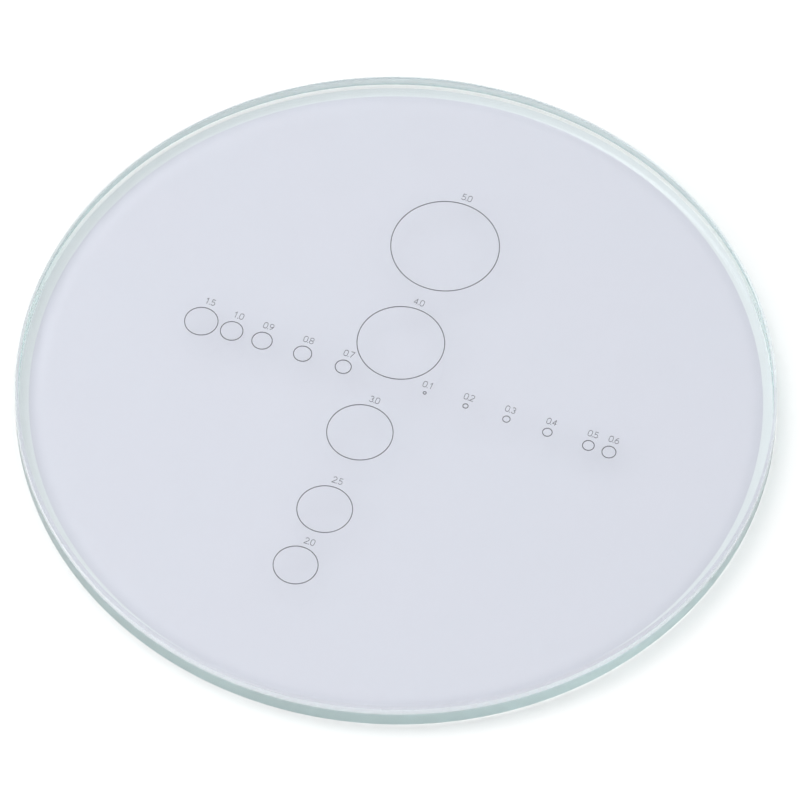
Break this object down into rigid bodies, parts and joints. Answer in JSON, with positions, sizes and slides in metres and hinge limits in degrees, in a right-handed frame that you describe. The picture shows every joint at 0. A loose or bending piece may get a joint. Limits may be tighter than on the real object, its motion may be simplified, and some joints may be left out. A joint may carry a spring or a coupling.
{
  "type": "circle template",
  "caption": "Flat round glass gauge disc with fine circle outlines of stepped diameter on two crossed arms, each with its size above it.",
  "frame": {"origin": "centre of the plate's underside", "axes": "+Z is the plate's axis, out of the marked face; +X runs along the arm of small circles in reading direction; +Y points from each circle to its number"},
  "size_m": [0.035, 0.035, 0.0015],
  "materials": {
    "glass": "clear polished plate with finely ground edges",
    "marks": "dark deposited metal film"
  },
  "bodies": {
    "root": {"circle_0_1": "marks", "circle_0_2": "marks", "circle_0_3": "marks", "circle_0_4": "marks", "circle_0_5": "marks", "circle_0_6": "marks", "circle_0_7": "marks", "circle_0_8": "marks", "circle_0_9": "marks", "circle_1_0": "marks", "circle_1_5": "marks", "circle_2_0": "marks", "circle_2_5": "marks", "circle_3_0": "marks", "circle_4_0": "marks", "circle_5_0": "marks", "glass_plate": "glass", "number_0_1_tenths": "marks", "number_0_1_whole": "marks", "number_0_2_tenths": "marks", "number_0_2_whole": "marks", "number_0_3_tenths": "marks", "number_0_3_whole": "marks", "number_0_4_tenths": "marks", "number_0_4_whole": "marks", "number_0_5_tenths": "marks", "number_0_5_whole": "marks", "number_0_6_tenths": "marks", "number_0_6_whole": "marks", "number_0_7_tenths": "marks", "number_0_7_whole": "marks", "number_0_8_tenths": "marks", "number_0_8_whole": "marks", "number_0_9_tenths": "marks", "number_0_9_whole": "marks", "number_1_0_tenths": "marks", "number_1_0_whole": "marks", "number_1_5_tenths": "marks", "number_1_5_whole": "marks", "number_2_0_tenths": "marks", "number_2_0_whole": "marks", "number_2_5_tenths": "marks", "number_2_5_whole": "marks", "number_3_0_tenths": "marks", "number_3_0_whole": "marks", "number_4_0_tenths": "marks", "number_4_0_whole": "marks", "number_5_0_tenths": "marks", "number_5_0_whole": "marks"}
  },
  "joints": []
}
